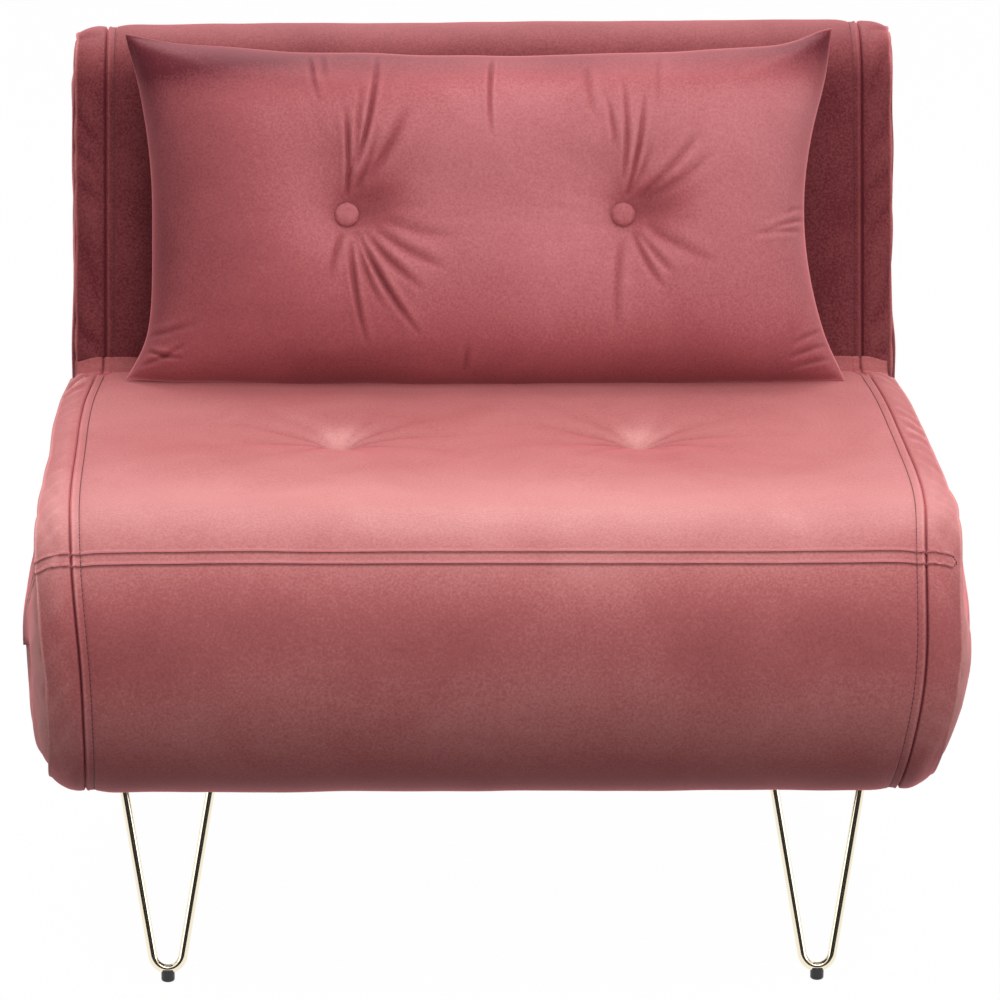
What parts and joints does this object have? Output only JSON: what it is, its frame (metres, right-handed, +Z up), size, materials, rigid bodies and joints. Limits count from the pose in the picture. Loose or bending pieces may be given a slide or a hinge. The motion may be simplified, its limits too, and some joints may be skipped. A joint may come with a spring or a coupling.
{
  "type": "upholstered chair",
  "caption": "Armless upholstered lounge chair with a half-round front, a ratchet reclining backrest, a loose tufted cushion and hairpin legs.",
  "frame": {"origin": "centre of the chair's footprint, on the floor", "axes": "+X to the chair's left as one sits in it (the viewer's right), -Y towards the front, +Z up"},
  "size_m": [0.8144, 0.7898, 0.7557],
  "materials": {
    "velvet": "dusty rose velvet with a soft sheen",
    "cushion_velvet": "dusty rose velvet with a soft sheen",
    "foam": "open-cell seat foam",
    "wadding": "soft polyester wadding",
    "webbing": "woven elastic webbing",
    "dust_cloth": "thin black non-woven cloth",
    "tie_cord": "waxed upholstery twine",
    "pine": "planed pine board",
    "pale_gold": "polished pale gold plating",
    "black_plastic": "moulded black plastic",
    "black_steel": "black powder coat",
    "hinge_steel": "dark phosphated steel",
    "zinc": "zinc plated"
  },
  "bodies": {
    "base": {"crease_strip": "velvet", "front_glide_left": "black_plastic", "front_glide_right": "black_plastic", "front_leg_left": "pale_gold", "front_leg_right": "pale_gold", "hinge_bracket_bolts": "zinc", "hinge_bracket_left": "hinge_steel", "hinge_bracket_right": "hinge_steel", "hinge_pin_left": "zinc", "hinge_pin_right": "zinc", "leg_screws": "zinc", "pawl_pins": "zinc", "rail_bolts": "zinc", "rail_end_caps": "black_plastic", "rear_cross_rail": "black_steel", "rear_glide_left": "black_plastic", "rear_glide_right": "black_plastic", "rear_leg_left": "pale_gold", "rear_leg_right": "pale_gold", "seat_centre_board": "pine", "seat_corner_blocks": "pine", "seat_cover": "velvet", "seat_dust_cover": "dust_cloth", "seat_foam": "foam", "seat_front_board": "pine", "seat_rear_board": "pine", "seat_side_board_left": "pine", "seat_side_board_right": "pine", "seat_tuft_ties": "tie_cord", "seat_wadding": "wadding", "seat_webbing_cross": "webbing", "seat_webbing_long": "webbing", "side_rail_left": "black_steel", "side_rail_right": "black_steel"},
    "backrest": {"back_bottom_rail": "pine", "back_cover": "velvet", "back_foam_front": "foam", "back_foam_rear": "foam", "back_stile_left": "pine", "back_stile_right": "pine", "back_top_rail": "pine", "back_wadding": "wadding", "back_webbing": "webbing", "ratchet_arm_bolts": "zinc", "ratchet_arm_left": "hinge_steel", "ratchet_arm_right": "hinge_steel"},
    "cushion": {"cushion_cover": "cushion_velvet", "cushion_fill": "wadding", "cushion_front_buttons": "cushion_velvet", "cushion_rear_buttons": "cushion_velvet", "cushion_ties": "tie_cord"},
    "pawl_left": {"pawl_left": "hinge_steel"},
    "pawl_right": {"pawl_right": "hinge_steel"}
  },
  "joints": [
    {"name": "backrest_recline", "type": "hinge", "parent": "base", "child": "backrest", "pos_m": [0, 0.24476, 0.379], "axis": [-1, 0, 0], "range_deg": [0, 73.4]},
    {"name": "cushion_lift", "type": "slide", "parent": "backrest", "child": "cushion", "axis": [0, -0.9583, 0.2857], "range_m": [0, 0.25]},
    {"name": "pawl_left_swing", "type": "hinge", "parent": "base", "child": "pawl_left", "pos_m": [-0.323, 0.21476, 0.3526], "axis": [1, 0, 0], "range_deg": [0, 8]},
    {"name": "pawl_right_swing", "type": "hinge", "parent": "base", "child": "pawl_right", "pos_m": [0.323, 0.21476, 0.3526], "axis": [1, 0, 0], "range_deg": [0, 8]}
  ]
}
